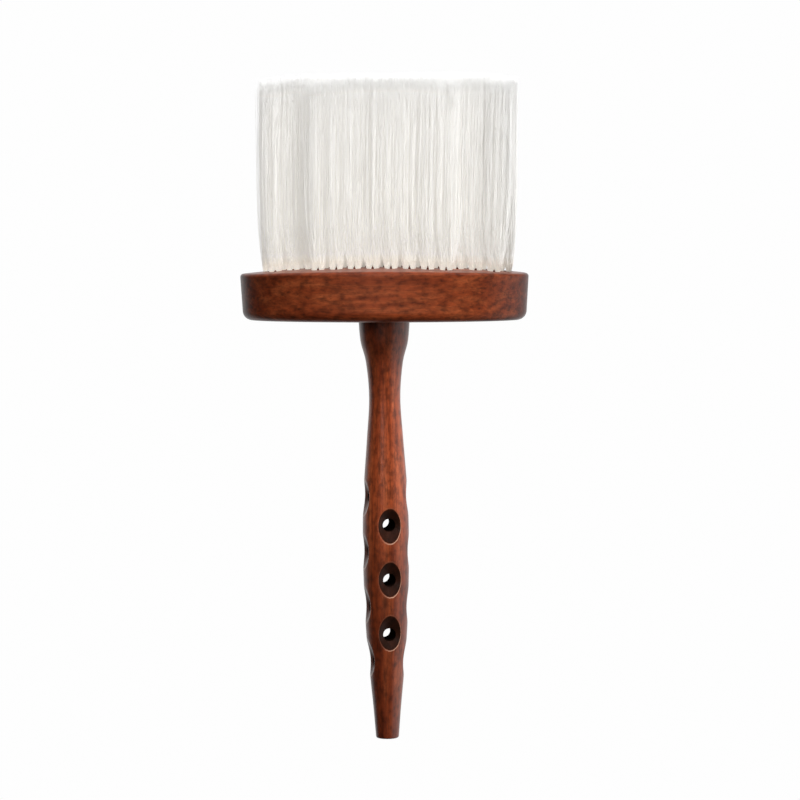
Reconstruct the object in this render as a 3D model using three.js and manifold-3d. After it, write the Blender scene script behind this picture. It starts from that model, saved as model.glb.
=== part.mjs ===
// Neck duster brush for a barber or hairdresser: an oval wooden head drilled with blind holes, soft nylon
// tufts set in the holes, and a turned wooden handle that a hanger screw joins to the head.
// Millimetres. +Z runs from the handle's end to the bristle tips, X along the head's long side.
// The origin is the centre of the handle's end face.

import * as THREE from 'three';
import { mergeVertices } from 'three/addons/utils/BufferGeometryUtils.js';
import Module from 'manifold-3d';

const wasm = await Module();
wasm.setup();

// ---- Driving dimensions ----

const JOINT_GAP = 0.3;

// Handle: [radius, height] stations of the turned outline, from the end to the shoulder under the head.
const HANDLE_LENGTH = 159.9;
const HANDLE_END_ROUNDING = 0.7;
const HANDLE_STATIONS = [
  [4.4, HANDLE_END_ROUNDING],
  [5.3, 12],
  [6.45, 24],
  [7.9, 42],
  [8.7, 64],
  [8.8, 80],
  [8.3, 96],
  [6.95, 114.5],
  [5.95, 130.5],
  [7.0, 143.8],
  [9.0, 152],
  [9.7, HANDLE_LENGTH],
];
const HANDLE_STEPS = 34;
const HANDLE_SIDES = 32;

// Cross holes: every second one is turned a quarter turn about the handle's axis.
const HOLE_COUNT = 7;
const TOP_HOLE_Z = 93;
const HOLE_STEP = 10.5;
const HOLE_RADIUS = 2.4;
const SINK_MOUTH_RADIUS = 6.8;
const SINK_DEPTH = 2.2;
const HOLE_SIDES = 20;
const HANDLE_TURN = THREE.MathUtils.degToRad(19);

// Head: an oval block with a flat underside, leaning sides, and a top that is crowned along its length
// and domed a little inside its rim.
const HEAD_HALF_LENGTH = 55.2;
const HEAD_HALF_DEPTH = 24;
const HEAD_END_THICKNESS = 17.5;
const HEAD_CROWN = 1.5;
const HEAD_DOME = 1.6;
const HEAD_DRAFT = THREE.MathUtils.degToRad(3.5);
const HEAD_BOTTOM_ROUNDING = 3.6;
const HEAD_TOP_ROUNDING = 1.1;
const HEAD_SIDES = 64;
const HEAD_UNDERSIDE_Z = HANDLE_LENGTH + JOINT_GAP;

// Tufts: staggered rows along X, each a half pitch from the next.
const TUFT_PITCH = 6.95;
const ROW_PITCH = 6.2;
const TUFTS_IN_ROWS = [8, 13, 14, 13, 8];
const TUFT_FIELD_SHIFT = 1.1;
const TUFT_HOLE_RADIUS = 2.6;
const TUFT_HOLE_DEPTH = 10.5;
const TUFT_ROOT_RADIUS = 2.15;
const TUFT_SPREAD_RADIUS = 2.95;
const TUFT_SPREAD_HEIGHT = 14;
const TUFT_TOP_RADIUS = 3.2;
const TIP_Z = 252;
const TIP_DROP = 3;
const FLARE_X = 0.00095;
const FLARE_Y = 0.0016;
const TUFT_SIDES = 10;

// Hanger screw: a thread at each end of a plain waist.
const SCREW_IN_HEAD = 8;
const SCREW_IN_HANDLE = 26;
const SCREW_THREAD_RADIUS = 2.4;
const SCREW_WAIST_RADIUS = 1.9;
const SCREW_WAIST_HALF = 2;
const SCREW_POINT = 3;
const SCREW_SIDES = 16;

// ---- Materials ----

function stainedWood() {
  return new THREE.MeshStandardMaterial({ color: 0x6e3320, roughness: 0.35, metalness: 0 });
}

function nylon() {
  return new THREE.MeshStandardMaterial({ color: 0xefece2, roughness: 0.55, metalness: 0 });
}

function steel() {
  return new THREE.MeshStandardMaterial({ color: 0xb4b6b8, roughness: 0.35, metalness: 1 });
}

// ---- Solids ----

// Merges shared vertices and drops the triangles that collapse on the axis.
function closed(geometry) {
  geometry.deleteAttribute('normal');
  geometry.deleteAttribute('uv');
  const merged = mergeVertices(geometry, 1e-4);
  const index = merged.index.array;
  const kept = [];
  for (let i = 0; i < index.length; i += 3) {
    const [a, b, c] = [index[i], index[i + 1], index[i + 2]];
    if (a !== b && b !== c && c !== a) {
      kept.push(a, b, c);
    }
  }
  merged.setIndex(kept);
  return merged;
}

function toSolid(geometry) {
  const shape = closed(geometry);
  const vertProperties = Float32Array.from(shape.attributes.position.array);
  const triVerts = Uint32Array.from(shape.index.array);
  return new wasm.Manifold(new wasm.Mesh({ numProp: 3, vertProperties, triVerts }));
}

function toGeometry(solid) {
  const { vertProperties, triVerts } = solid.getMesh();
  const geometry = new THREE.BufferGeometry();
  geometry.setAttribute('position', new THREE.BufferAttribute(vertProperties, 3));
  geometry.setIndex(new THREE.BufferAttribute(triVerts, 1));
  return geometry;
}

function cutAway(body, tools) {
  return tools.reduce((rest, tool) => rest.subtract(toSolid(tool)), body);
}

// A turned solid about Z from [radius, height] pairs that run upwards from the axis back to the axis.
function turned(pairs, sides) {
  const outline = pairs.map(([radius, height]) => new THREE.Vector2(radius, height));
  return new THREE.LatheGeometry(outline, sides).rotateX(Math.PI / 2);
}

function named(name, geometry, material) {
  const mesh = new THREE.Mesh(geometry, material);
  mesh.name = name;
  return mesh;
}

// ---- Handle ----

function handleOutline() {
  const stations = HANDLE_STATIONS.map(([radius, height]) => new THREE.Vector2(radius, height));
  const curve = new THREE.SplineCurve(stations).getPoints(HANDLE_STEPS);
  const endFace = HANDLE_STATIONS[0][0] - HANDLE_END_ROUNDING;
  return [[0, 0], [endFace, 0], ...curve.map((p) => [p.x, p.y]), [0, HANDLE_LENGTH]];
}

// The outline's radius at a height, by straight steps between its points.
function handleRadiusAt(height) {
  const outline = handleOutline();
  const above = outline.findIndex(([, z], i) => i > 1 && z >= height);
  const [lowRadius, lowZ] = outline[above - 1];
  const [highRadius, highZ] = outline[above];
  return THREE.MathUtils.mapLinear(height, lowZ, highZ, lowRadius, highRadius);
}

// A cross hole along Y with a wide shallow countersink at each mouth.
function crossHole(height) {
  const surface = handleRadiusAt(height);
  const outside = surface + 3;
  const sinkFloor = surface - SINK_DEPTH;
  const sinkSlope = (SINK_MOUTH_RADIUS - HOLE_RADIUS) / SINK_DEPTH;
  const outsideRadius = SINK_MOUTH_RADIUS + (outside - surface) * sinkSlope;
  const half = [[HOLE_RADIUS, sinkFloor], [outsideRadius, outside], [0, outside]];
  const mirrored = half.map(([radius, y]) => [radius, -y]).reverse();
  return turned([...mirrored, ...half], HOLE_SIDES).rotateX(Math.PI / 2).translate(0, 0, height);
}

function screwSocket(depth, mouthZ, direction) {
  const radius = SCREW_THREAD_RADIUS + JOINT_GAP;
  const inner = mouthZ + direction * (depth + JOINT_GAP);
  const outer = mouthZ - direction;
  const [low, high] = [Math.min(inner, outer), Math.max(inner, outer)];
  return turned([[0, low], [radius, low], [radius, high], [0, high]], SCREW_SIDES);
}

function handle() {
  const holes = [];
  for (let k = 0; k < HOLE_COUNT; k += 1) {
    const quarterTurn = k % 2 === 0 ? Math.PI / 2 : 0;
    holes.push(crossHole(TOP_HOLE_Z - k * HOLE_STEP).rotateZ(HANDLE_TURN + quarterTurn));
  }
  const socket = screwSocket(SCREW_IN_HANDLE, HANDLE_LENGTH, -1);
  const solid = cutAway(toSolid(turned(handleOutline(), HANDLE_SIDES)), [...holes, socket]);
  return named('handle', toGeometry(solid), stainedWood());
}

// ---- Head block ----

// How much higher than at the head's ends the top is over a place: the crown and the dome together.
function riseAt(x, y) {
  const crown = 1 - (x / HEAD_HALF_LENGTH) ** 2;
  const dome = Math.max(0, crown - (y / HEAD_HALF_DEPTH) ** 2);
  return HEAD_CROWN * crown + HEAD_DOME * dome;
}

function topZAt(x, y) {
  return HEAD_UNDERSIDE_Z + HEAD_END_THICKNESS + riseAt(x, y);
}

// The side's outline as [inset, height] pairs, from the underside over both roundings to the top.
function headSideOutline() {
  const pairs = [];
  const wallInset = (height) => (HEAD_END_THICKNESS - height) * Math.tan(HEAD_DRAFT);
  const low = HEAD_BOTTOM_ROUNDING;
  const lowInset = wallInset(low) + low / Math.cos(HEAD_DRAFT);
  for (let i = 0; i <= 4; i += 1) {
    const turn = THREE.MathUtils.lerp(Math.PI / 2, HEAD_DRAFT, i / 4);
    pairs.push([lowInset - low * Math.cos(turn), low - low * Math.sin(turn)]);
  }
  const top = HEAD_TOP_ROUNDING;
  const topZ = HEAD_END_THICKNESS - top;
  const topInset = wallInset(topZ) + top / Math.cos(HEAD_DRAFT);
  for (let i = 0; i <= 3; i += 1) {
    const turn = THREE.MathUtils.lerp(-HEAD_DRAFT, Math.PI / 2, i / 3);
    pairs.push([topInset - top * Math.cos(turn), topZ + top * Math.sin(turn)]);
  }
  return pairs;
}

// A round block is turned first. Its rim is then moved out along X by the same amount all the way up,
// which keeps the roundings even around the oval, and its faces are stretched to meet the rim.
function ovalBlock() {
  const side = headSideOutline().map(([inset, height]) => [HEAD_HALF_DEPTH - inset, height]);
  const [underRadius] = side[0];
  const [topRadius] = side[side.length - 1];
  const faceRings = [0.85, 0.65, 0.45, 0.25].map((share) => [topRadius * share, HEAD_END_THICKNESS]);
  const outline = [[0, 0], ...side, ...faceRings, [0, HEAD_END_THICKNESS]];
  const block = closed(turned(outline, HEAD_SIDES));
  const position = block.attributes.position;
  const stretch = HEAD_HALF_LENGTH - HEAD_HALF_DEPTH;
  for (let i = 0; i < position.count; i += 1) {
    const [x, y, z] = [position.getX(i), position.getY(i), position.getZ(i)];
    const radius = Math.hypot(x, y);
    const faceRadius = z < HEAD_END_THICKNESS / 2 ? underRadius : topRadius;
    const widened = x + (stretch * x) / Math.max(radius, faceRadius);
    const raised = z + (riseAt(widened, y) * z) / HEAD_END_THICKNESS;
    position.setXYZ(i, widened, y, HEAD_UNDERSIDE_Z + raised);
  }
  return block;
}

// Every tuft's place on the head, row by row from the front.
function tuftPlaces() {
  const places = [];
  const middleRow = (TUFTS_IN_ROWS.length - 1) / 2;
  TUFTS_IN_ROWS.forEach((count, row) => {
    for (let i = 0; i < count; i += 1) {
      const x = (i - (count - 1) / 2) * TUFT_PITCH;
      places.push([x, (row - middleRow) * ROW_PITCH]);
    }
  });
  return places;
}

function tuftHole([x, y]) {
  const mouth = topZAt(x + TUFT_FIELD_SHIFT, y);
  const [low, high] = [mouth - TUFT_HOLE_DEPTH, mouth + 1];
  const outline = [[0, low], [TUFT_HOLE_RADIUS, low], [TUFT_HOLE_RADIUS, high], [0, high]];
  return turned(outline, TUFT_SIDES).translate(x + TUFT_FIELD_SHIFT, y, 0);
}

function headBlock() {
  const socket = screwSocket(SCREW_IN_HEAD, HEAD_UNDERSIDE_Z, 1);
  const solid = cutAway(toSolid(ovalBlock()), [...tuftPlaces().map(tuftHole), socket]);
  return named('head_block', toGeometry(solid), stainedWood());
}

// ---- Bristle tufts ----

// Tips lie level, and drop towards the outline of the whole field.
function tipZAt(x, y) {
  const fieldHalfLength = (Math.max(...TUFTS_IN_ROWS) * TUFT_PITCH) / 2;
  const fieldHalfDepth = (TUFTS_IN_ROWS.length * ROW_PITCH) / 2;
  const outward = Math.hypot(x / fieldHalfLength, y / fieldHalfDepth);
  return TIP_Z - TIP_DROP * outward ** 8;
}

// The root stands straight in its hole, and the free part leans away from the field's centre.
function tuft([x, y], name) {
  const mouth = topZAt(x + TUFT_FIELD_SHIFT, y);
  const top = tipZAt(x, y) - mouth;
  const root = JOINT_GAP - TUFT_HOLE_DEPTH;
  const outline = [
    [0, root],
    [TUFT_ROOT_RADIUS, root],
    [TUFT_ROOT_RADIUS, JOINT_GAP],
    [TUFT_SPREAD_RADIUS, TUFT_SPREAD_HEIGHT],
    [TUFT_TOP_RADIUS, top],
    [0, top],
  ];
  const geometry = closed(turned(outline, TUFT_SIDES));
  const position = geometry.attributes.position;
  for (let i = 0; i < position.count; i += 1) {
    const free = Math.max(0, position.getZ(i) - JOINT_GAP);
    position.setX(i, position.getX(i) + x * FLARE_X * free);
    position.setY(i, position.getY(i) + y * FLARE_Y * free);
  }
  const mesh = named(name, geometry, nylon());
  mesh.position.set(x + TUFT_FIELD_SHIFT, y, mouth);
  return mesh;
}

// ---- Hanger screw ----

function hangerScrew() {
  const low = -SCREW_IN_HANDLE;
  const high = SCREW_IN_HEAD;
  const outline = [
    [0, low],
    [SCREW_THREAD_RADIUS, low + SCREW_POINT],
    [SCREW_THREAD_RADIUS, -SCREW_WAIST_HALF],
    [SCREW_WAIST_RADIUS, -SCREW_WAIST_HALF],
    [SCREW_WAIST_RADIUS, SCREW_WAIST_HALF],
    [SCREW_THREAD_RADIUS, SCREW_WAIST_HALF],
    [SCREW_THREAD_RADIUS, high - 1],
    [SCREW_THREAD_RADIUS - 1, high],
    [0, high],
  ];
  const screw = named('hanger_screw', closed(turned(outline, SCREW_SIDES)), steel());
  screw.position.z = HANDLE_LENGTH + JOINT_GAP / 2;
  return screw;
}

// ---- Assembly ----

const brush = new THREE.Group();
brush.add(headBlock(), handle(), hangerScrew());
tuftPlaces().forEach((place, i) => {
  brush.add(tuft(place, `bristle_tuft_${String(i + 1).padStart(2, '0')}`));
});

export default brush;
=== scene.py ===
"""Neck duster brush: an oval stained wooden head, long pale nylon bristles in tufts, and a turned
wooden handle with countersunk cross holes. The frame is in metres, with +Z from the handle's end to the
bristle tips and X along the head. Measures here are in millimetres."""

import math

import bmesh
import bpy
import numpy as np
from mathutils import Matrix, Quaternion, Vector


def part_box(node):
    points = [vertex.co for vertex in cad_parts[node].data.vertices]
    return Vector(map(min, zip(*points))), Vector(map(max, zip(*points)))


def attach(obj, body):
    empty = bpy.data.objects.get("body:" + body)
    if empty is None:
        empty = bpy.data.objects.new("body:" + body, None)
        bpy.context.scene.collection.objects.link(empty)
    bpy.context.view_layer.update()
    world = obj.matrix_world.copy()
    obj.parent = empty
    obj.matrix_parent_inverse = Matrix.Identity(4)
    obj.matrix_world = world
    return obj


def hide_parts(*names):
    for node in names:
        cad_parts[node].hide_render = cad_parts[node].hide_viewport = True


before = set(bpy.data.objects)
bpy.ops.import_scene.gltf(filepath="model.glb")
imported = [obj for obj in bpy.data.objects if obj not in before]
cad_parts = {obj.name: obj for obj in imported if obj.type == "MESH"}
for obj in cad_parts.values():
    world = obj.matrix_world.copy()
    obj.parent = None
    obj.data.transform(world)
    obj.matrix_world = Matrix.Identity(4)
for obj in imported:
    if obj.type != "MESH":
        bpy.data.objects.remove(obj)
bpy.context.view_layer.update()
MM = 0.001
BODY = "root"

# ---- Measures, the same as the solids' own ----

HANDLE_TOP_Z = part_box("handle")[1].z / MM
HEAD_LOW, HEAD_HIGH = (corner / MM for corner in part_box("head_block"))
HANDLE_STATIONS = [
    (4.4, 0.7),
    (5.3, 12),
    (6.45, 24),
    (7.9, 42),
    (8.7, 64),
    (8.8, 80),
    (8.3, 96),
    (6.95, 114.5),
    (5.95, 130.5),
    (7.0, 143.8),
    (9.0, 152),
    (9.7, HANDLE_TOP_Z),
]
END_ROUNDING = 0.7
SIDE_TURN = math.radians(19)
FRONT_TURN = SIDE_TURN - math.pi / 2
TOP_HOLE_Z = 93
HOLE_PITCH = 10.5
HOLES = [(TOP_HOLE_Z - HOLE_PITCH * k, (SIDE_TURN, FRONT_TURN)[k % 2]) for k in range(7)]
HOLE_RADIUS = 2.4
SINK_MOUTH_RADIUS = 6.8
SINK_DEPTH = 2.2
LIP_ROUNDING = 0.45
SCREW_RADIUS = 2.7
HANDLE_SOCKET_DEPTH = 26.3
HEAD_SOCKET_DEPTH = 8.3

HEAD_HALF_LENGTH = 55.2
HEAD_HALF_DEPTH = 24
HEAD_CROWN = 1.5
HEAD_DOME = 1.6
HEAD_END_THICKNESS = HEAD_HIGH.z - HEAD_LOW.z - HEAD_CROWN - HEAD_DOME
HEAD_DRAFT = math.radians(3.5)
HEAD_BOTTOM_ROUNDING = 3.6
HEAD_TOP_ROUNDING = 1.1
TUFT_HOLE_RADIUS = 2.6
TUFT_HOLE_DEPTH = 10.5


# ---- Mesh helpers ----


def new_object(name, mesh, material):
    mesh.materials.append(material)
    piece = bpy.data.objects.new(name, mesh)
    bpy.context.scene.collection.objects.link(piece)
    return piece


def grid_mesh(name, rings):
    """A closed mesh from rings of points (ring, point, xyz), each end closed by a fan to its middle."""
    count, sides, _ = rings.shape
    points = np.concatenate([rings.reshape(-1, 3), [rings[0].mean(0)], [rings[-1].mean(0)]])
    i, j = np.meshgrid(np.arange(count - 1), np.arange(sides), indexing="ij")
    after = (j + 1) % sides
    walls = np.stack([i * sides + j, i * sides + after, (i + 1) * sides + after, (i + 1) * sides + j], -1)
    side = np.arange(sides)
    beside = (side + 1) % sides
    last = (count - 1) * sides
    low = np.stack([beside, side, np.full(sides, count * sides)], -1)
    high = np.stack([last + side, last + beside, np.full(sides, count * sides + 1)], -1)
    faces = [*walls.reshape(-1, 4).tolist(), *low.tolist(), *high.tolist()]
    mesh = bpy.data.meshes.new(name)
    mesh.from_pydata((points * MM).tolist(), [], faces)
    return mesh


def drill(piece, cutter_mesh):
    """Cuts the cutter's closed bodies out of the piece and keeps the result as its mesh."""
    cutter = bpy.data.objects.new("cutter", cutter_mesh)
    bpy.context.scene.collection.objects.link(cutter)
    cut = piece.modifiers.new("drill", "BOOLEAN")
    cut.object = cutter
    cut.operation = "DIFFERENCE"
    cut.solver = "MANIFOLD"
    made = bpy.data.meshes.new_from_object(piece.evaluated_get(bpy.context.evaluated_depsgraph_get()))
    piece.modifiers.clear()
    piece.data = made
    bpy.data.objects.remove(cutter)


CREASE = math.radians(40)


def smooth(mesh):
    """Smooth shading, with a crease at every edge that turns by the crease angle or more."""
    work = bmesh.new()
    work.from_mesh(mesh)
    for face in work.faces:
        face.smooth = True
    for edge in work.edges:
        edge.smooth = len(edge.link_faces) != 2 or edge.calc_face_angle(0) < CREASE
    work.to_mesh(mesh)
    work.free()


def rods(name, places, radius, sides):
    """Closed rods in one mesh. Each place is a rod's middle, its length, and the turn about Z of a rod
    that lies level, or None for a rod that stands."""
    work = bmesh.new()
    for middle, length, level_turn in places:
        where = Matrix.Translation(Vector(middle) * MM)
        if level_turn is not None:
            where = where @ Matrix.Rotation(level_turn, 4, "Z") @ Matrix.Rotation(math.pi / 2, 4, "Y")
        size = {"radius1": radius * MM, "radius2": radius * MM, "depth": length * MM}
        bmesh.ops.create_cone(work, cap_ends=True, segments=sides, matrix=where, **size)
    mesh = bpy.data.meshes.new(name)
    work.to_mesh(mesh)
    work.free()
    return mesh


def upright(x, y, low, high):
    return (x, y, (low + high) / 2), high - low, None


def add_attribute(mesh, name, values):
    made = mesh.attributes.new(name, "FLOAT", "POINT")
    made.data.foreach_set("value", np.asarray(values, np.float32))


def vertex_places(mesh):
    places = np.empty(len(mesh.vertices) * 3, np.float32)
    mesh.vertices.foreach_get("co", places)
    return places.reshape(-1, 3).astype(float) / MM


# ---- Materials ----

WOOD_TONES = ((0.15, 0.024, 0.006), (0.218, 0.041, 0.011), (0.29, 0.066, 0.02))
PORE_BROWN = (0.03, 0.007, 0.003)
# Darkening colour: on the head's end grain, and on the handle painted shade under the head and a darker
# lower end.
DARK_STAIN_AND_SHADE = (0.2, 0.15, 0.13)
# Lighter lip colour: wear, and a painted highlight.
BARE_WOOD_AND_HIGHLIGHT = (0.5, 0.29, 0.2)
DISH_BLACK = (0.013, 0.005, 0.003)
# Bore colour: painted shade inside the bores.
BORE_SHADE = (0.006, 0.003, 0.002)
NYLON_TONES = ((0.82, 0.78, 0.72), (0.86, 0.84, 0.79), (0.90, 0.88, 0.84), (0.93, 0.92, 0.88))
# Warm foot colour: a painted reflection of the brown wood on the strands' feet.
NYLON_FOOT_REFLECTION = (0.8, 0.66, 0.48)
NYLON_COOL = (0.87, 0.87, 0.86)
# Tip colour: painted shade on the strands' tips.
NYLON_TIP_SHADE = (0.6, 0.6, 0.59)
NYLON_GLOW = 0.42
NYLON_GLOW_TINT = (1.0, 0.97, 0.93)


def feed(tree, socket, value):
    """Links a socket to an output, or gives it its own value. A tuple is a colour without its alpha."""
    if isinstance(value, bpy.types.NodeSocket):
        tree.links.new(value, socket)
    elif isinstance(value, tuple):
        socket.default_value = (*value, 1)
    else:
        socket.default_value = value


def maths(tree, operation, a, b):
    made = tree.nodes.new("ShaderNodeMath")
    made.operation = operation
    feed(tree, made.inputs[0], a)
    feed(tree, made.inputs[1], b)
    return made.outputs[0]


class Shader:
    """A Principled material with short calls for the nodes that feed it."""

    def __init__(self, name):
        self.material = bpy.data.materials.new(name)
        self.material.use_nodes = True
        self.tree = self.material.node_tree
        self.surface = self.tree.nodes["Principled BSDF"]

    def set(self, **values):
        for key, value in values.items():
            self.surface.inputs[key.replace("_", " ")].default_value = value

    def link(self, source, target):
        self.tree.links.new(source, self.surface.inputs[target])

    def node(self, kind, **sockets):
        made = self.tree.nodes.new("ShaderNode" + kind)
        for key, value in sockets.items():
            feed(self.tree, made.inputs[key.replace("_", " ")], value)
        return made

    def attribute(self, name):
        made = self.node("Attribute")
        made.attribute_name = name
        return made.outputs["Fac"]

    def place(self, scale):
        """The piece's own coordinates in millimetres times scale."""
        coordinates = self.node("TexCoord").outputs["Object"]
        size = [share / MM for share in scale]
        return self.node("Mapping", Vector=coordinates, Scale=size).outputs["Vector"]

    def noise(self, vector, scale, detail, roughness, distortion=0):
        shape = {"Scale": scale, "Detail": detail, "Roughness": roughness, "Distortion": distortion}
        return self.node("TexNoise", Vector=vector, **shape).outputs["Fac"]

    def ramp(self, factor, *stops):
        made = self.node("ValToRGB", Fac=factor)
        ends = made.color_ramp.elements
        while len(ends) < len(stops):
            ends.new(0.5)
        for end, (position, colour) in zip(ends, stops):
            end.position = position
            end.color = (*colour, 1) if isinstance(colour, tuple) else (colour, colour, colour, 1)
        return made.outputs["Color"]

    def mix(self, factor, a, b, blend="MIX"):
        made = self.tree.nodes.new("ShaderNodeMix")
        made.data_type = "RGBA"
        made.blend_type = blend
        colours = [socket for socket in made.inputs if socket.type == "RGBA"]
        feed(self.tree, made.inputs[0], factor)
        feed(self.tree, colours[0], a)
        feed(self.tree, colours[1], b)
        return [socket for socket in made.outputs if socket.type == "RGBA"][0]

    def maths(self, operation, a, b):
        return maths(self.tree, operation, a, b)

    def bump(self, height, strength, distance_mm):
        made = self.node("Bump", Height=height, Strength=strength, Distance=distance_mm * MM)
        self.link(made.outputs["Normal"], "Normal")


def stained_wood(name, along, light, dished=False):
    """Red-brown stained wood under a thin varnish, its grain along one axis. The colour is darker where
    the piece's darkening attribute says so: on the head's end grain, and on the handle both under the
    head, as painted shade, and towards its lower end; light scales its brightness. Dished wood has dark
    countersinks, darker in the front ones as painted shade, and bores painted dark as painted shade."""
    shade = Shader(name)

    def stretched(share):
        return shade.place([share if axis == along else 1.0 for axis in "XYZ"])

    figure = shade.noise(stretched(0.06), 0.28, 5, 0.6, 0.3)
    streaks = shade.noise(stretched(0.035), 1.3, 6, 0.75, 0.1)
    pores = shade.noise(stretched(0.08), 4.2, 2, 0.5)
    mottle = shade.noise(stretched(0.6), 0.5, 4, 0.6)
    tones = [tuple(light * part for part in tone) for tone in WOOD_TONES]
    base = shade.ramp(figure, *zip((0.32, 0.5, 0.68), tones))
    streak_tone = shade.ramp(streaks, (0.34, 0.4), (0.5, 0.97), (0.68, 1.3))
    streaked = shade.mix(0.8, base, streak_tone, "MULTIPLY")
    mottle_tone = shade.ramp(mottle, (0.36, 0.5), (0.5, 1.0), (0.66, 1.3))
    mottled = shade.mix(0.85, streaked, mottle_tone, "MULTIPLY")
    pored = shade.mix(shade.ramp(pores, (0.63, 0.0), (0.72, 0.55)), mottled, PORE_BROWN)
    darkened = shade.mix(1.0, pored, DARK_STAIN_AND_SHADE, "MULTIPLY")
    # Darker where the attribute says: end grain on the head; on the handle, painted shade under the head,
    # and darker towards its lower end.
    colour = shade.mix(shade.attribute("stain_and_shade"), pored, darkened)
    rough = shade.ramp(streaks, (0.3, 0.5), (0.7, 0.36))
    if dished:
        colour, rough, gloss = dark_dishes_and_bores(shade, streaks, mottle, colour, rough)
        shade.link(gloss, "Coat Weight")
        shade.link(shade.maths("MULTIPLY", gloss, 0.5), "Specular IOR Level")
    else:
        shade.set(Coat_Weight=0.35, Specular_IOR_Level=0.25)
    shade.link(colour, "Base Color")
    shade.link(rough, "Roughness")
    shade.set(Coat_Roughness=0.3, IOR=1.45)
    shade.bump(shade.mix(0.4, streaks, pores), 0.3, 0.12)
    return shade.material


def dark_dishes_and_bores(shade, streaks, mottle, colour, rough):
    """The wood's colour, roughness and gloss with lighter lips (wear, and a painted highlight towards each
    dish's lower side), black dishes, darker in the front ones as painted shade, and matt black bores that
    are painted shade.
    """
    edge = shade.maths("ADD", shade.attribute("depth"), shade.maths("MULTIPLY", streaks, 0.12))
    lip = shade.ramp(edge, (0.09, 0.0), (0.12, 0.9), (0.17, 0.9), (0.21, 0.0))
    # The lips are painted lighter: wear all round, and a painted highlight towards each dish's lower side.
    wear_and_highlight = shade.maths("MULTIPLY", lip, shade.attribute("wear_and_highlight"))
    colour = shade.mix(wear_and_highlight, colour, BARE_WOOD_AND_HIGHLIGHT)
    black = shade.ramp(edge, (0.14, 0.0), (0.28, 1.0))
    uneven = shade.ramp(mottle, (0.35, 1.0), (0.65, 0.93))
    # The dishes are painted dark, darker in the front ones as painted shade.
    sunk = shade.maths("MULTIPLY", shade.maths("MULTIPLY", black, uneven), shade.attribute("black"))
    colour = shade.mix(sunk, colour, DISH_BLACK)
    bore = shade.attribute("bore")
    # The bores are painted near-black and matt: painted shade.
    colour = shade.mix(bore, colour, BORE_SHADE)
    rough = shade.mix(bore, rough, (0.9, 0.9, 0.9))
    gloss = shade.mix(bore, shade.mix(sunk, (0.5, 0.5, 0.5), (0.12, 0.12, 0.12)), (0.0, 0.0, 0.0))
    return colour, rough, gloss


def nylon():
    """Pale translucent filament. Each strand has its own tone. A faint glow stands for the light that
    passes through the whole brush. It is strongest at the foot of the outer tufts, and the lit attribute
    scales it."""
    shade = Shader("nylon_bristle")
    tone = shade.attribute("tone")
    along = shade.attribute("along")
    strand = shade.ramp(tone, *zip((0.0, 0.35, 0.8, 1.0), NYLON_TONES))
    streak = shade.noise(shade.place([1.0, 1.0, 0.02]), 1.1, 3, 0.6)
    varied = shade.mix(0.3, strand, shade.ramp(streak, (0.3, 0.88), (0.7, 1.04)), "MULTIPLY")
    # The strands' feet are painted warmer and darker: a painted reflection of the brown wood.
    wood_reflected = shade.mix(shade.ramp(along, (0.0, 0.6), (0.08, 0.0)), varied, NYLON_FOOT_REFLECTION)
    cooled = shade.mix(shade.ramp(along, (0.2, 0.0), (0.95, 0.6)), wood_reflected, NYLON_COOL)
    # The tips are painted greyer and darker: painted shade.
    tip = shade.ramp(along, (0.92, 0.0), (0.965, 0.5), (1.0, 0.85))
    shade.link(shade.mix(tip, cooled, NYLON_TIP_SHADE), "Base Color")
    shade.link(shade.ramp(tone, (0.0, 0.55), (1.0, 0.36)), "Roughness")
    body_glow = shade.ramp(along, (0.0, 0.15), (0.07, 0.38), (0.5, 0.36), (0.92, 0.34), (1.0, 0.2))
    foot_glow = shade.ramp(along, (0.0, 0.65), (0.015, 0.52), (0.035, 0.22), (0.065, 0.06), (0.1, 0.0))
    both = shade.maths("ADD", body_glow, shade.maths("MULTIPLY", foot_glow, shade.attribute("outer")))
    glow = shade.maths("MULTIPLY", both, shade.attribute("lit"))
    shade.link(shade.mix(glow, (0.0, 0.0, 0.0), NYLON_GLOW_TINT), "Emission Color")
    shade.set(IOR=1.5, Emission_Strength=NYLON_GLOW)
    shade.set(Subsurface_Weight=1.0, Subsurface_Scale=0.4 * MM, Subsurface_Radius=(1, 1, 1))
    return shade.material


def steel():
    shade = Shader("steel")
    brushed = shade.noise(shade.place([1.0, 1.0, 0.2]), 2.5, 4, 0.6)
    shade.link(shade.ramp(brushed, (0.3, (0.42, 0.42, 0.43)), (0.7, (0.66, 0.66, 0.67))), "Base Color")
    shade.link(shade.ramp(brushed, (0.3, 0.42), (0.7, 0.26)), "Roughness")
    shade.set(Metallic=1.0)
    shade.bump(brushed, 0.1, 0.05)
    return shade.material


# ---- Handle ----


def spline(stations, steps):
    """An even Catmull-Rom curve through (radius, z) stations, as rows of points."""
    points = np.array(stations, float)
    at = np.linspace(0, len(points) - 1, steps)
    k = np.minimum(at.astype(int), len(points) - 2)
    t = (at - k)[:, None]
    p0, p1 = points[np.maximum(k - 1, 0)], points[k]
    p2, p3 = points[k + 1], points[np.minimum(k + 2, len(points) - 1)]
    v0, v1 = (p2 - p0) / 2, (p3 - p1) / 2
    return (2 * p1 - 2 * p2 + v0 + v1) * t**3 + (-3 * p1 + 3 * p2 - 2 * v0 - v1) * t**2 + v0 * t + p1


HANDLE_STEPS = 430
HANDLE_SIDES = 208
END_STEPS = 6
HANDLE_CURVE = spline(HANDLE_STATIONS, HANDLE_STEPS)


def handle_radius(z):
    return np.interp(z, HANDLE_CURVE[:, 1], HANDLE_CURVE[:, 0])


def mouths():
    """Both ends of every cross hole, as its height and the turn it faces."""
    return [(z, mouth) for z, turn in HOLES for mouth in (turn, turn + math.pi)]


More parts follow.
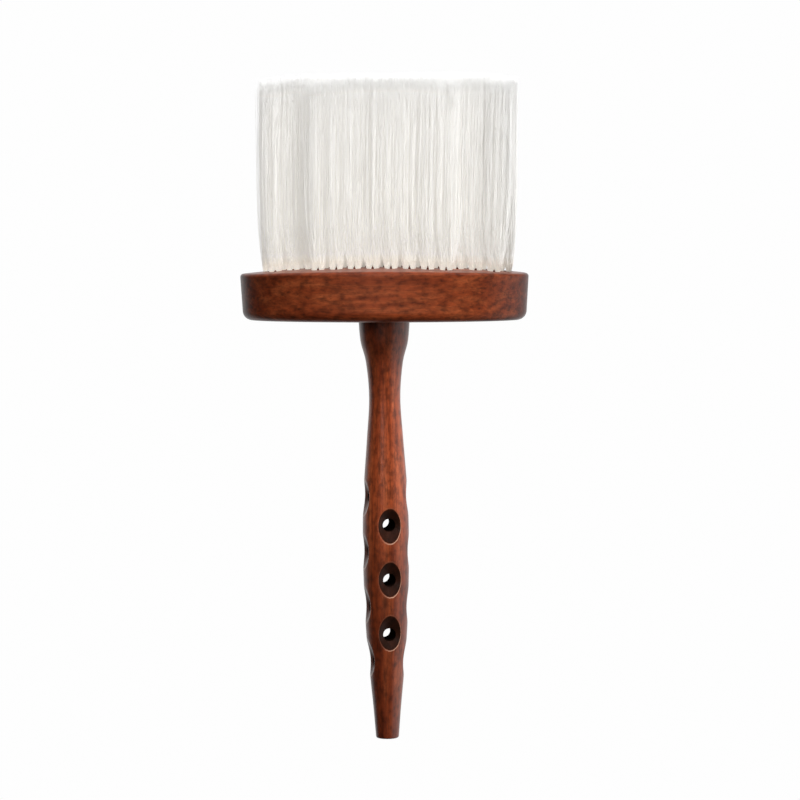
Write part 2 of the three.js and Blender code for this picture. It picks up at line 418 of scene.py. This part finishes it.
def sunk_radius(turn, z, radius):
    """The handle's radius where countersinks are cut into it, with softly rounded lips. The distance to a
    countersink's cone along each direction is a root of a quadratic."""
    slope = (SINK_MOUTH_RADIUS - HOLE_RADIUS) / SINK_DEPTH
    nowhere = 1e3
    for hole_z, mouth in mouths():
        away = (turn - mouth + math.pi) % (2 * math.pi) - math.pi
        a = slope * np.cos(away)
        b = SINK_MOUTH_RADIUS - slope * handle_radius(hole_z)
        square = a**2 - np.sin(away) ** 2
        inside = np.maximum((a * b) ** 2 - square * (b**2 - (z - hole_z) ** 2), 0)
        cone = (-a * b + np.sqrt(inside)) / np.where(np.abs(square) < 1e-9, 1e-9, square)
        near = (np.abs(away) < 1.0) & (np.abs(z - hole_z) < SINK_MOUTH_RADIUS + 2)
        cone = np.where(near & (cone > 0), cone, nowhere)
        blend = np.clip(0.5 + 0.5 * (cone - radius) / LIP_ROUNDING, 0, 1)
        radius = cone * (1 - blend) + radius * blend - LIP_ROUNDING * blend * (1 - blend)
    return radius


def handle_mesh():
    turn = np.linspace(0, 2 * math.pi, HANDLE_SIDES, endpoint=False)[None, :]
    arc = np.linspace(0, math.pi / 2, END_STEPS, endpoint=False)
    inset = END_ROUNDING * (1 - np.sin(arc))
    height = END_ROUNDING * (1 - np.cos(arc))
    rounding = np.stack([HANDLE_STATIONS[0][0] - inset, height], 1)
    outline = np.concatenate([rounding, HANDLE_CURVE])
    z = outline[:, 1:2] + 0 * turn
    radius = sunk_radius(turn, z, outline[:, 0:1] + 0 * turn)
    return grid_mesh("handle_wood", np.stack([radius * np.cos(turn), radius * np.sin(turn), z], -1))


BORE_LENGTH = 60
BORE_SIDES = 48
SOCKET_SIDES = 32
FACING = math.cos(math.radians(45))
# Lip lightening: wear all round, and a painted highlight that grows towards each dish's lower side and one
# side.
LEAST_WORN = 0.1
MOST_WEAR_AND_HIGHLIGHT = 0.9
HIGHLIGHT_BELOW = 0.65 / 7
HIGHLIGHT_ASIDE = 1.1 / 7
# The side dishes are painted half as dark as the front ones: painted shade where the front dishes face the
# dark room.
SIDE_DISH_SHADE = 0.5
# Darkening along the handle: painted shade under the head at the top, and darker towards the lower end.
DARKENING_Z = [0, 20, 62, 92, 125, 150, 160]
DARKENING_BY_Z = [0.75, 0.62, 0.58, 0.1, 0.05, 0.35, 0.6]


def add_handle_wear_and_shade(mesh):
    """Tells the handle's material how deep each place is in a dish, whether it is in a bore, how light its
    dish's lip is painted there (wear, and a painted highlight towards the lower side), how dark its dish
    is painted (painted shade, fullest in the front dishes), and how dark the wood is painted along the
    handle (painted shade under the head, and darker towards the lower end)."""
    x, y, z = vertex_places(mesh).T
    radius = np.hypot(x, y)
    depth = handle_radius(z) - radius
    on_an_end = (z > HANDLE_TOP_Z - 0.05) | (z < 1)
    add_attribute(mesh, "depth", np.where(on_an_end, 0, np.clip(depth, 0, 3)))
    bored = np.zeros(len(z), bool)
    wear_and_highlight = np.zeros(len(z))
    for hole_z, mouth in mouths():
        outward = x * math.cos(mouth) + y * math.sin(mouth)
        aside = y * math.cos(mouth) - x * math.sin(mouth)
        below = hole_z - z
        bored |= (np.hypot(aside, below) < HOLE_RADIUS + 0.05) & (depth > 1)
        near = (outward > FACING * radius) & (np.abs(below) < SINK_MOUTH_RADIUS + 1)
        # Wear all round the lip, and a painted highlight that grows towards its lower side and one side.
        uneven = np.clip(LEAST_WORN + HIGHLIGHT_BELOW * below + HIGHLIGHT_ASIDE * aside, LEAST_WORN, MOST_WEAR_AND_HIGHLIGHT)
        wear_and_highlight = np.where(near, uneven, wear_and_highlight)
    sideways = np.abs(x * math.cos(SIDE_TURN) + y * math.sin(SIDE_TURN))
    add_attribute(mesh, "bore", bored)
    add_attribute(mesh, "wear_and_highlight", wear_and_highlight)
    # Painted shade: the front dishes are painted fully dark, the side ones half.
    add_attribute(mesh, "black", np.where(sideways > FACING * radius, SIDE_DISH_SHADE, 1))
    # Painted shade under the head, and darker towards the lower end.
    add_attribute(mesh, "stain_and_shade", np.interp(z, DARKENING_Z, DARKENING_BY_Z))


def make_handle(material):
    handle = new_object("handle_wood", handle_mesh(), material)
    bores = [((0, 0, z), BORE_LENGTH, turn) for z, turn in HOLES]
    drill(handle, rods("bores", bores, HOLE_RADIUS, BORE_SIDES))
    socket = [upright(0, 0, HANDLE_TOP_Z - HANDLE_SOCKET_DEPTH, HANDLE_TOP_Z + 1)]
    drill(handle, rods("socket", socket, SCREW_RADIUS, SOCKET_SIDES))
    add_handle_wear_and_shade(handle.data)
    smooth(handle.data)
    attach(handle, BODY)
    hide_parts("handle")


# ---- Head block ----


def rise(x, y):
    """How much higher than at the head's ends its top is over a place."""
    crown = 1 - (x / HEAD_HALF_LENGTH) ** 2
    dome = np.maximum(0, crown - (y / HEAD_HALF_DEPTH) ** 2)
    return HEAD_CROWN * crown + HEAD_DOME * dome


def head_outline():
    """The side as rows of (inset, height), from the underside over both roundings to the top."""

    def rounding(radius, middle_z, turns):
        middle = (HEAD_END_THICKNESS - middle_z) * math.tan(HEAD_DRAFT) + radius / math.cos(HEAD_DRAFT)
        return [(middle - radius * math.cos(turn), middle_z + radius * math.sin(turn)) for turn in turns]

    low_turns = np.linspace(-math.pi / 2, -HEAD_DRAFT, 14)
    top_turns = np.linspace(-HEAD_DRAFT, math.pi / 2, 12)
    low = rounding(HEAD_BOTTOM_ROUNDING, HEAD_BOTTOM_ROUNDING, low_turns)
    top = rounding(HEAD_TOP_ROUNDING, HEAD_END_THICKNESS - HEAD_TOP_ROUNDING, top_turns)
    wall = np.linspace(low[-1], top[0], 12)[1:-1]
    return np.concatenate([low, wall, top])


HEAD_SIDES = 288
HEAD_FACE_RINGS = 15
HEAD_INNER_SHARE = 0.03
HEAD_HOLE_SIDES = 24
END_GRAIN_STAIN = 0.95


def head_mesh():
    turn = np.linspace(0, 2 * math.pi, HEAD_SIDES, endpoint=False)[None, :]
    outline = head_outline()
    rings = np.pad(outline, ((HEAD_FACE_RINGS, HEAD_FACE_RINGS), (0, 0)), "edge")
    inset, height = rings[:, 0:1], rings[:, 1:2]
    inward = np.linspace(HEAD_INNER_SHARE, 1, HEAD_FACE_RINGS + 1)[:-1]
    share = np.concatenate([inward, np.ones(len(outline)), inward[::-1]])[:, None]
    x = share * (HEAD_HALF_LENGTH - inset) * np.cos(turn)
    y = share * (HEAD_HALF_DEPTH - inset) * np.sin(turn)
    z = HEAD_LOW.z + height * (1 + rise(x, y) / HEAD_END_THICKNESS)
    return grid_mesh("head_wood", np.stack([x, y, z], -1))


def add_end_grain(mesh):
    """Darkens the stain on the head's ends, where the side cuts across the grain."""
    x, y, _ = vertex_places(mesh).T
    normal_x = x / HEAD_HALF_LENGTH**2
    normal_y = y / HEAD_HALF_DEPTH**2
    facing = np.abs(normal_x) / np.maximum(np.hypot(normal_x, normal_y), 1e-6)
    rim = np.clip((x / HEAD_HALF_LENGTH) ** 2 + (y / HEAD_HALF_DEPTH) ** 2, 0, 1) ** 4
    add_attribute(mesh, "stain_and_shade", END_GRAIN_STAIN * rim * facing**1.3)


def make_head(material, tufts):
    head = new_object("head_wood", head_mesh(), material)
    holes = []
    for tuft in tufts:
        x, y, _ = tuft["root"]
        holes.append(upright(x, y, tuft["mouth"] - TUFT_HOLE_DEPTH, tuft["mouth"] + 2))
    drill(head, rods("holes", holes, TUFT_HOLE_RADIUS, HEAD_HOLE_SIDES))
    socket = [upright(0, 0, HEAD_LOW.z - 1, HEAD_LOW.z + HEAD_SOCKET_DEPTH)]
    drill(head, rods("socket", socket, SCREW_RADIUS, HEAD_HOLE_SIDES))
    smooth(head.data)
    add_end_grain(head.data)
    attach(head, BODY)
    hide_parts("head_block")


# ---- Bristle tufts ----

SEED = 11
STRANDS = 520
STRAND_RADIUS = 0.08
STRAND_LEVELS = np.array([0, 0.05, 0.12, 0.25, 0.45, 0.7, 0.975])
STRAND_TAPER = [1, 1, 1, 1, 1, 1, 0.6]
STRAND_SIDES = 3
TONE_SPREAD = (2.6, 1.6)
HALF_OFFSET = 1.5
HALF_RADIUS = 0.9
MOUTH_REACH = 2.3
FAN_RADIUS = 3.1
FAN_SCATTER = 2.0
OPENING_HEIGHT = 10
TOP_LEAN = 1.5
LEAN_SCATTER = 0.7
STRAY_SHARE = 0.03
STRAY_SCATTER = 1.6
BEND_SCATTER = 0.3
CUT_SHAPE = 1.6
CUT_SCALE = 1.5
SHORT_SHARE = 0.1
SHORTEST_BY = 9
MOST_CUT = 16
TIPS_ABOVE = 2.2
ROOT_LIFT = 0.3
FEET_BELOW_MOUTH = 0.4
FLARE_KEPT = 0.3
FIELD_HALF_LENGTH = 47
FIELD_HALF_DEPTH = 15
FIELD_LEFT = 46.2
FIELD_RIGHT = 49.5
HELD_IN = 0.65
OUTER_FROM = [0.35, 0.75]
OUTER_GLOW = [0.3, 1]
LIT_X = [20, 45, 49]
LIT = [1, 0.75, 0.3]


def find_tufts():
    """Each tuft's root, mouth and top from its solid: the ends of its lowest and highest rings."""
    found = []
    for name in sorted(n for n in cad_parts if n.startswith("bristle_tuft_")):
        places = vertex_places(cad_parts[name].data)
        low, high = places[:, 2].min(), places[:, 2].max()
        root = places[places[:, 2] < low + 0.01].mean(0)
        top = places[places[:, 2] > high - 0.01].mean(0)
        found.append({"name": name, "root": root, "top": top, "mouth": low - ROOT_LIFT + TUFT_HOLE_DEPTH})
    return found


def strand_paths(tuft, rng):
    """Points (strand, level, xyz) along every strand of one tuft. The strands leave the hole as the two
    halves of a folded bundle, open into a fan, and lean and bend a little. Most are cut near the top, and
    a few are shorter. Past the field's ends they are drawn in."""
    turn = rng.uniform(0, 2 * math.pi, STRANDS)
    out = np.sqrt(rng.uniform(0, 1, STRANDS))
    disc = np.stack([out * np.cos(turn), out * np.sin(turn)], 1)
    spread = disc * FAN_RADIUS + rng.normal(0, FAN_SCATTER, (STRANDS, 2))
    lean = rng.normal(0, LEAN_SCATTER, (STRANDS, 2)) + (TOP_LEAN, 0)
    stray = rng.random(STRANDS) < STRAY_SHARE
    lean[stray, 0] += rng.normal(0, STRAY_SCATTER, stray.sum())
    bend = rng.normal(0, BEND_SCATTER, (STRANDS, 2))
    height = tuft["top"][2] - tuft["mouth"]
    cut = rng.gamma(CUT_SHAPE, CUT_SCALE, STRANDS)
    short = rng.random(STRANDS) < SHORT_SHARE
    cut += short * rng.uniform(0, SHORTEST_BY, STRANDS)
    length = height + TIPS_ABOVE - np.minimum(cut, MOST_CUT)
    z = STRAND_LEVELS[None, :] * length[:, None]
    up = (z / height)[..., None]
    opening = 1 - np.exp(-((z / OPENING_HEIGHT) ** 1.3))[..., None]
    centre = tuft["root"][:2] + (tuft["top"][:2] - tuft["root"][:2]) * FLARE_KEPT * up
    half = np.where(disc[:, :1] > 0, 1, -1) * (1, 0)
    mouth = half * HALF_OFFSET + (disc - half * 0.5) * (2, 1) * HALF_RADIUS
    mouth *= np.minimum(1, MOUTH_REACH / np.hypot(mouth[:, 0], mouth[:, 1]))[:, None]
    fan = mouth[:, None] * (1 - opening) + spread[:, None] * opening
    wander = lean[:, None] * up**1.5 + bend[:, None] * np.sin(up * math.pi)
    places = centre + fan + wander
    for side, limit in ((-1, FIELD_LEFT), (1, FIELD_RIGHT)):
        beyond = np.maximum(0, side * places[..., 0] - limit)
        places[..., 0] -= side * HELD_IN * beyond
    return np.concatenate([places, (tuft["mouth"] - FEET_BELOW_MOUTH + z)[..., None]], -1)


def strand_faces(strands, levels):
    """Four-sided faces along every strand, and three-sided ones at its tip and its foot."""
    per = levels * STRAND_SIDES + 1
    last = per - 1 - STRAND_SIDES
    edges = [(side, (side + 1) % STRAND_SIDES) for side in range(STRAND_SIDES)]
    walls = []
    for low in range(0, last, STRAND_SIDES):
        high = low + STRAND_SIDES
        walls += [(low + a, low + b, high + b, high + a) for a, b in edges]
    ends = [(last + a, last + b, per - 1) for a, b in edges] + [(2, 1, 0)]
    start = np.arange(strands)[:, None, None] * per
    fours = (np.array(walls) + start).reshape(-1, 4).tolist()
    threes = (np.array(ends) + start).reshape(-1, 3).tolist()
    return fours + threes


def tuft_mesh(tuft, rng):
    """One tuft's strands, with what their material needs: each one's tone, how far along it a place is,
    whether the tuft is an outer one, and how lit the place is."""
    paths = strand_paths(tuft, rng)
    strands, levels, _ = paths.shape
    width = STRAND_RADIUS * rng.uniform(0.8, 1.2, strands)
    corners = np.arange(STRAND_SIDES) * 2 * math.pi / STRAND_SIDES
    around = rng.uniform(0, 2 * math.pi, strands)[:, None] + corners
    ring = np.stack([np.cos(around), np.sin(around), 0 * around], -1)
    rings = paths[:, :, None] + ring[:, None] * (width[:, None] * STRAND_TAPER)[..., None, None]
    last_step = STRAND_LEVELS[-1] - STRAND_LEVELS[-2]
    tips = paths[:, -1] + (paths[:, -1] - paths[:, -2]) * (1 - STRAND_LEVELS[-1]) / last_step
    points = np.concatenate([rings.reshape(strands, -1, 3), tips[:, None]], 1)
    x, _, z = points.reshape(-1, 3).T
    mesh = bpy.data.meshes.new(tuft["name"].replace("tuft", "bundle"))
    mesh.from_pydata((points.reshape(-1, 3) * MM).tolist(), [], strand_faces(strands, levels))
    mesh.shade_smooth()
    add_attribute(mesh, "tone", np.repeat(rng.beta(*TONE_SPREAD, strands), points.shape[1]))
    add_attribute(mesh, "along", (z - tuft["mouth"]) / (tuft["top"][2] - tuft["mouth"]))
    far = math.hypot(tuft["root"][0] / FIELD_HALF_LENGTH, tuft["root"][1] / FIELD_HALF_DEPTH)
    add_attribute(mesh, "outer", np.full(len(z), np.interp(far, OUTER_FROM, OUTER_GLOW)))
    add_attribute(mesh, "lit", np.interp(x, LIT_X, LIT))
    return mesh


def make_tufts(material, tufts):
    rng = np.random.default_rng(SEED)
    for tuft in tufts:
        bundle = new_object(tuft["name"].replace("tuft", "bundle"), tuft_mesh(tuft, rng), material)
        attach(bundle, BODY)
        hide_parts(tuft["name"])


# ---- Staple wires in the holes ----

WIRE_RADIUS = 0.3
WIRE_HALF_LENGTH = 2.35
WIRE_LIFT = 0.55
WIRE_DROP = 0.35
WIRE_STEPS = 9
WIRE_SIDES = 8


def make_anchors(material, tufts):
    """A short wire across the floor of each hole, its ends pressed a little way down."""
    work = bmesh.new()
    shares = np.linspace(-1, 1, WIRE_STEPS)
    around = np.linspace(0, 2 * math.pi, WIRE_SIDES, endpoint=False)
    for tuft in tufts:
        x, y, z = tuft["root"]
        rings = []
        for share in shares:
            height = z + WIRE_LIFT - WIRE_DROP * abs(share) ** 3
            middle = Vector((x + share * WIRE_HALF_LENGTH, y, height))
            rim = [middle + WIRE_RADIUS * Vector((0, math.cos(a), math.sin(a))) for a in around]
            rings.append([work.verts.new(point * MM) for point in rim])
        for low, high in zip(rings, rings[1:]):
            for k in range(WIRE_SIDES):
                beside = (k + 1) % WIRE_SIDES
                work.faces.new((low[k], high[k], high[beside], low[beside]))
        work.faces.new(rings[0])
        work.faces.new(rings[-1][::-1])
    bmesh.ops.recalc_face_normals(work, faces=work.faces)
    mesh = bpy.data.meshes.new("tuft_anchors")
    work.to_mesh(mesh)
    work.free()
    anchors = new_object("tuft_anchors", mesh, material)
    smooth(mesh)
    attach(anchors, BODY)


# ---- Stage, light and camera, in metres ----

FLOOR_RADIUS = 9
FLOOR_Z = -0.12
PAPER_WHITE = 0.99
BACK_GLOW = 1.0
RIGHT_GLOW = 1.2
TOP_GLOW = 0.75
ROOM_GLOW = 0.03
KEY_POWER = 29
FILL_POWER = 5
GLINT_POWER = 1.2
LIGHT_AIM = Vector((0, 0, 0.14))


def emitter(name, size, place, power, shines=True):
    """A rectangular light. One that doesn't shine lights the brush but isn't mirrored in its varnish."""
    lamp = bpy.data.lights.new(name, "AREA")
    lamp.shape = "RECTANGLE"
    lamp.size, lamp.size_y = size
    lamp.energy = power
    holder = bpy.data.objects.new(name, lamp)
    holder.location = place
    holder.rotation_euler = (LIGHT_AIM - Vector(place)).to_track_quat("-Z", "Y").to_euler()
    holder.visible_camera = False
    holder.visible_glossy = shines
    bpy.context.scene.collection.objects.link(holder)


def make_stage():
    work = bmesh.new()
    bmesh.ops.create_circle(work, cap_ends=True, segments=64, radius=FLOOR_RADIUS)
    mesh = bpy.data.meshes.new("floor")
    work.to_mesh(mesh)
    work.free()
    shade = Shader("floor_paper")
    shade.set(Base_Color=(0, 0, 0, 1), Roughness=1.0, Specular_IOR_Level=0.0)
    shade.set(Emission_Color=(1, 1, 1, 1), Emission_Strength=PAPER_WHITE)
    floor = new_object("floor", mesh, shade.material)
    floor.location.z = FLOOR_Z
    floor.visible_glossy = False
    floor.visible_diffuse = False


def glow(tree, towards, start, end, strength):
    """Light from the directions that lie near one direction: none at start, full at end."""
    dot = tree.nodes.new("ShaderNodeVectorMath")
    dot.operation = "DOT_PRODUCT"
    tree.links.new(tree.nodes.new("ShaderNodeTexCoord").outputs["Generated"], dot.inputs[0])
    dot.inputs[1].default_value = Vector(towards).normalized()
    share = tree.nodes.new("ShaderNodeMapRange")
    share.interpolation_type = "SMOOTHSTEP"
    tree.links.new(dot.outputs["Value"], share.inputs["Value"])
    share.inputs["From Min"].default_value = start
    share.inputs["From Max"].default_value = end
    share.inputs["To Max"].default_value = strength
    return share.outputs["Result"]


def make_light():
    """A white surround behind and above, a soft glow from the right, and a dark room in front of the
    brush. The camera itself sees plain white."""
    world = bpy.data.worlds.new("studio")
    bpy.context.scene.world = world
    world.use_nodes = True
    tree = world.node_tree
    back = glow(tree, (-0.139, 0.99, 0.0), 0.3, 0.55, BACK_GLOW)
    right = glow(tree, (0.95, 0.133, -0.28), 0.55, 0.92, RIGHT_GLOW)
    above = glow(tree, (0, 0, 1), 0.35, 0.8, TOP_GLOW)
    surround = maths(tree, "MAXIMUM", back, right)
    surround = maths(tree, "MAXIMUM", surround, above)
    surround = maths(tree, "MAXIMUM", surround, ROOM_GLOW)
    strength = tree.nodes.new("ShaderNodeMix")
    feed(tree, strength.inputs["Factor"], tree.nodes.new("ShaderNodeLightPath").outputs["Is Camera Ray"])
    feed(tree, strength.inputs["A"], surround)
    feed(tree, strength.inputs["B"], PAPER_WHITE)
    background = tree.nodes["Background"]
    feed(tree, background.inputs["Strength"], strength.outputs["Result"])
    feed(tree, background.inputs["Color"], (1, 1, 1))
    emitter("key", (0.5, 0.5), (0.72, -0.86, 1.2), KEY_POWER, shines=False)
    emitter("fill", (1.0, 1.0), (0.1, -1.5, 0.5), FILL_POWER, shines=False)
    emitter("glint", (0.16, 0.48), (-0.2, -1.3, 0.42), GLINT_POWER)


CAMERA_AZIMUTH = math.radians(8)
CAMERA_ELEVATION = math.radians(4.4)
CAMERA_ROLL = math.radians(0.45)
CAMERA_DISTANCE = 1.3
AIM_Z = 0.1296
AIM_RIGHT = 0.0058
VIEW_WIDTH = 0.3042
SENSOR_WIDTH = 36


def make_camera():
    """A long lens with a small roll, a little to the right of the head's front and above the middle."""
    back = Vector((math.sin(CAMERA_AZIMUTH), -math.cos(CAMERA_AZIMUTH), 0)) * math.cos(CAMERA_ELEVATION)
    back.z = math.sin(CAMERA_ELEVATION)
    right = Vector((math.cos(CAMERA_AZIMUTH), math.sin(CAMERA_AZIMUTH), 0))
    aim = Vector((0, 0, AIM_Z)) + right * AIM_RIGHT
    data = bpy.data.cameras.new("camera")
    data.sensor_width = SENSOR_WIDTH
    data.lens = SENSOR_WIDTH * CAMERA_DISTANCE / VIEW_WIDTH
    data.clip_end = 50
    camera = bpy.data.objects.new("camera", data)
    camera.location = aim + back * CAMERA_DISTANCE
    level = (-back).to_track_quat("-Z", "Y")
    camera.rotation_euler = (Quaternion(back, -CAMERA_ROLL) @ level).to_euler()
    bpy.context.scene.collection.objects.link(camera)
    bpy.context.scene.camera = camera


# ---- Build ----

bpy.context.scene.view_settings.view_transform = "Standard"
make_camera()
make_light()
make_stage()
TUFTS = find_tufts()
make_head(stained_wood("head_stain", "X", 0.93), TUFTS)
make_handle(stained_wood("handle_stain", "Z", 1.25, dished=True))
make_tufts(nylon(), TUFTS)
STEEL = steel()
make_anchors(STEEL, TUFTS)
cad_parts["hanger_screw"].material_slots[0].material = STEEL
